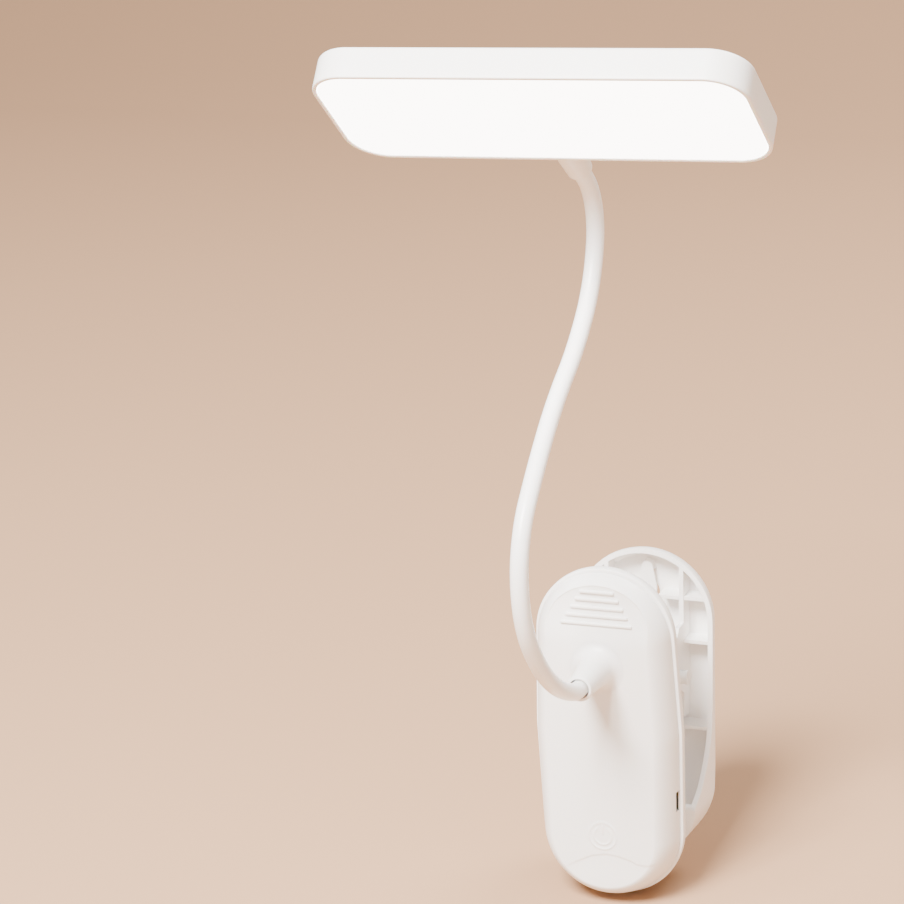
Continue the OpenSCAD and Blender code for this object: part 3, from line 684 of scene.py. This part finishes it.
def make_neck():
    """Skin and lead, in pieces that each run across one joint."""
    bodies = ["clip"] + [f"neck_{k}" for k in range(1, JOINTS)] + ["head"]
    for k in range(1, JOINTS + 1):
        first, last = k == 1, k == JOINTS
        joint = neck_joint(k)
        s0 = -9.0 if first else joint - LINK_L / 2
        s1 = joint + STUB + 4.0 if last else joint + LINK_L / 2
        reach = 8.0 if first or last else 12.0
        pair = bodies[k - 1], bodies[k], neck_at(joint - reach)[0], neck_at(joint + reach)[0]
        skin = Solid()
        skin.rings(neck_tube(s0, s1, NECK_R, 56, 0.6))
        sleeves = [f"neck_sleeve_{k - 1}"]
        if last:
            sleeves.append(f"neck_sleeve_{k}")
        finish_blended(skin.object(f"neck_skin_{k}", 80.0), "sleeve", *pair, *sleeves)
        lead = Solid()
        if first:
            rings = lead_root(s1)
        else:
            rings = neck_tube(s0, joint + 36.0 if last else s1, LEAD_R, 12, 1.5)
        lead.rings(rings, start=True, end=True)
        stands_for = ["neck_lead"] if first else []
        finish_blended(lead.object(f"neck_lead_{k}", 60.0), "lead", *pair, *stands_for)


# ---------------------------------------------------------------- lamp head
HEAD = np.array(Matrix.Translation(Vector(NECK_END))
                @ Matrix.Rotation(HEAD_HEADING - math.pi, 4, "X")
                @ Matrix.Rotation(math.pi, 4, "Z")
                @ Matrix.Rotation(math.radians(TWIST), 4, "Y"))


def in_head(points):
    return np.asarray(points, float) @ HEAD[:3, :3].T + HEAD[:3, 3]


def head_ring(inset, z, corner=40, side=24):
    """The panel's rounded outline at one height, with even steps along its straight sides."""
    half_w = HEAD_W / 2 - inset
    half_d = HEAD_D / 2 - inset
    r = max(HEAD_R - inset, 0.02)
    middle_y = SOCKET_L + HEAD_D / 2
    arcs = []
    for sx, sy, first in ((1, 1, 0), (-1, 1, 90), (-1, -1, 180), (1, -1, 270)):
        cx = sx * (half_w - r)
        cy = sy * (half_d - r)
        arcs.append([(cx + r * math.cos(a), cy + r * math.sin(a))
                     for a in sweep(corner + 1, first, first + 90)])
    ring = []
    for arc, following in zip(arcs, arcs[1:] + arcs[:1]):
        p, q = arc[-1], following[0]
        ring += arc
        ring += [(p[0] + (q[0] - p[0]) * t, p[1] + (q[1] - p[1]) * t)
                 for t in np.linspace(0, 1, side + 1)[1:-1]]
    return in_head([(x, middle_y + y, z) for x, y in ring])


def add_panel(s):
    """The panel's outer and inner skins; a profile is (inset, z)."""
    low, top = HEAD_LOW, HEAD_TOP
    lip, round_top = 0.55, 1.6
    outer = [(HEAD_WALL, low + 0.5), (1.58, low + 0.22), (1.45, low + 0.05), (1.25, low), (0.7, low)]
    outer += [(lip - lip * math.sin(a), low + lip - lip * math.cos(a)) for a in sweep(6)]
    outer += [(0.0, z) for z in np.linspace(low + 1.5, top - 2.2, 6)]
    outer += [(round_top - round_top * math.cos(a), top - round_top + round_top * math.sin(a))
              for a in sweep(12)]
    outer += [(inset, top) for inset in (2.2, 4, 8, 14, 20, 26, HEAD_MID)]
    s.rings([head_ring(inset, z) for inset, z in outer], end=True)
    inner = [(HEAD_WALL, low + 0.5), (HEAD_WALL, top - 3.4), (2.0, top - 2.4), (3.0, top - 1.9),
             (HEAD_MID, top - 1.9)]
    s.rings([head_ring(inset, z) for inset, z in inner], end=True)


def add_socket(s):
    """The socket between neck and panel; its profile is (radius, distance from the neck's end)."""
    r_low, h_low = 4.93, 0.6
    profile = [(3.45, 9.0), (3.45, 0.35), (3.6, 0.08), (3.85, 0.0), (4.5, 0.0), (4.75, 0.08),
               (4.9, 0.3), (r_low, h_low)]
    profile += [(r_low + 0.62 * t, h_low + 16.2 * t) for t in np.linspace(0, 1, 12)[1:]]
    profile += [(5.6, 17.2), (5.62, 18.3)]
    s.rings([in_head(r) for r in revolve(profile, lambda u, v, d: (u, d, v), 72)])


def make_head_shell():
    s = Solid()
    add_panel(s)
    add_socket(s)
    finish_piece(s.object("head_shell_skin", 50.0), "head", "white_shell", "head_shell")


def make_diffuser():
    edge, r = 1.75, 0.4
    low = HEAD_LOW + 0.3
    profile = [(HEAD_MID, HEAD_LOW + 1.9), (edge, HEAD_LOW + 1.9), (edge, HEAD_LOW + 0.75)]
    profile += [(edge + r - r * math.cos(a), low + r - r * math.sin(a)) for a in sweep(6)]
    profile += [(inset, low) for inset in (3, 6, 12, 20, HEAD_MID)]
    s = Solid()
    s.rings([head_ring(inset, z) for inset, z in profile], start=True, end=True)
    finish_piece(s.object("head_diffuser", 50.0), "head", "diffuser", "diffuser")


# ---------------------------------------------------------------- torsion spring
def make_spring():
    """A coil on the hinge pin, with one leg down the rear cover and one up the jaw."""
    y, z = HINGE
    r, wire, turns, half = 4.8, 0.8, 5, 7.4
    start = math.radians(250.0)
    end = start + math.radians(360.0 * turns + 89.0)
    coil = []
    for t in np.linspace(0, 1, turns * 48 + 13):
        a = start + (end - start) * t
        coil.append(np.array((-half + 2 * half * t, y + r * math.cos(a), z + r * math.sin(a))))
    leg_a = heading(start - math.pi / 2)
    leg_b = heading(end + math.pi / 2)
    points = [coil[0] + d * leg_a for d in (26.2, 26.0, 18, 10, 4, 1.2)]
    points += coil
    points += [coil[-1] + d * leg_b for d in (1.2, 5, 10, 15.4, 15.6)]
    last = len(points) - 1
    tangents = [points[min(i + 1, last)] - points[max(i - 1, 0)] for i in range(last + 1)]
    tangents = [t / np.linalg.norm(t) for t in tangents]
    s = Solid()
    s.rings(tube(points, tangents, wire, 14), start=True, end=True)
    finish_blended(s.object("hinge_spring", 60.0), "steel", "clip", "jaw", (-6.8, y, z), (6.8, y, z),
                   "torsion_spring")


make_front_shell()
make_rear_cover()
make_hinge_lugs()
make_softened("rear_jaw", "jaw_shell", "jaw", 0.35)
make_softened("jaw_pad", "jaw_rubber", "jaw", 0.3)
make_softened("front_pad", "front_rubber", "clip", 0.3)
make_softened("hinge_pin", "hinge_pin_white", "clip", 0.18)
make_neck()
make_head_shell()
make_diffuser()
make_spring()


# ---------------------------------------------------------------- floor, light, camera, in metres
def make_floor():
    """A sheet just below the lamp that curves up into a wall behind it."""
    z = cad_low[2] - 0.0006
    wide = 30.0
    bend, start = 1.6, 1.2
    profile = [(-wide, z), (start, z)]
    profile += [(start + bend * math.sin(a), z + bend - bend * math.cos(a)) for a in sweep(24)]
    profile += [(start + bend, 6.0)]
    verts = [(x, y, h) for y, h in profile for x in (-wide, wide)]
    faces = [(2 * i, 2 * i + 1, 2 * i + 3, 2 * i + 2) for i in range(len(profile) - 1)]
    mesh = bpy.data.meshes.new("floor")
    mesh.from_pydata(verts, [], faces)
    mesh.polygons.foreach_set("use_smooth", [True] * len(faces))
    mesh.materials.append(material("floor", (0.43, 0.255, 0.145), 0.9))
    add_object("floor", mesh)


def add_light(name, at, size, watts, colour):
    """A round light that faces the middle of the lamp."""
    target = Vector((0.0, -0.02, 0.14))
    data = bpy.data.lights.new(name, "AREA")
    data.shape = "DISK"
    data.size = size
    data.energy = watts
    data.color = colour
    light = add_object(name, data)
    light.location = at
    light.rotation_mode = "QUATERNION"
    light.rotation_quaternion = (target - Vector(at)).to_track_quat("-Z", "Y")


def light_world():
    world = bpy.data.worlds.new("studio")
    bpy.context.scene.world = world
    world.use_nodes = True
    background = world.node_tree.nodes["Background"]
    background.inputs["Color"].default_value = (1.0, 0.96, 0.92, 1.0)
    background.inputs["Strength"].default_value = 0.65


def add_camera():
    """The photograph's camera: in front of the lamp, to its right and above it, and slightly rolled."""
    data = bpy.data.cameras.new("camera")
    data.lens = 139.38
    data.sensor_width = 36.0
    data.clip_start = 0.05
    data.clip_end = 30.0
    camera = add_object("camera", data)
    turn = Euler([math.radians(a) for a in (70.969, 3.215, 20.892)], "XYZ")
    camera.matrix_world = Matrix.Translation((0.4211, -1.1999, 0.6020)) @ turn.to_matrix().to_4x4()
    bpy.context.scene.camera = camera


make_floor()
add_light("key", (-0.22, -1.1, 1.5), 0.75, 172.0, (1.0, 0.985, 0.965))
add_light("fill", (1.5, -1.0, 0.5), 1.0, 9.0, (1.0, 0.93, 0.88))
add_light("back", (0.5, 1.0, 1.4), 0.7, 34.0, (1.0, 0.95, 0.9))
light_world()
add_camera()
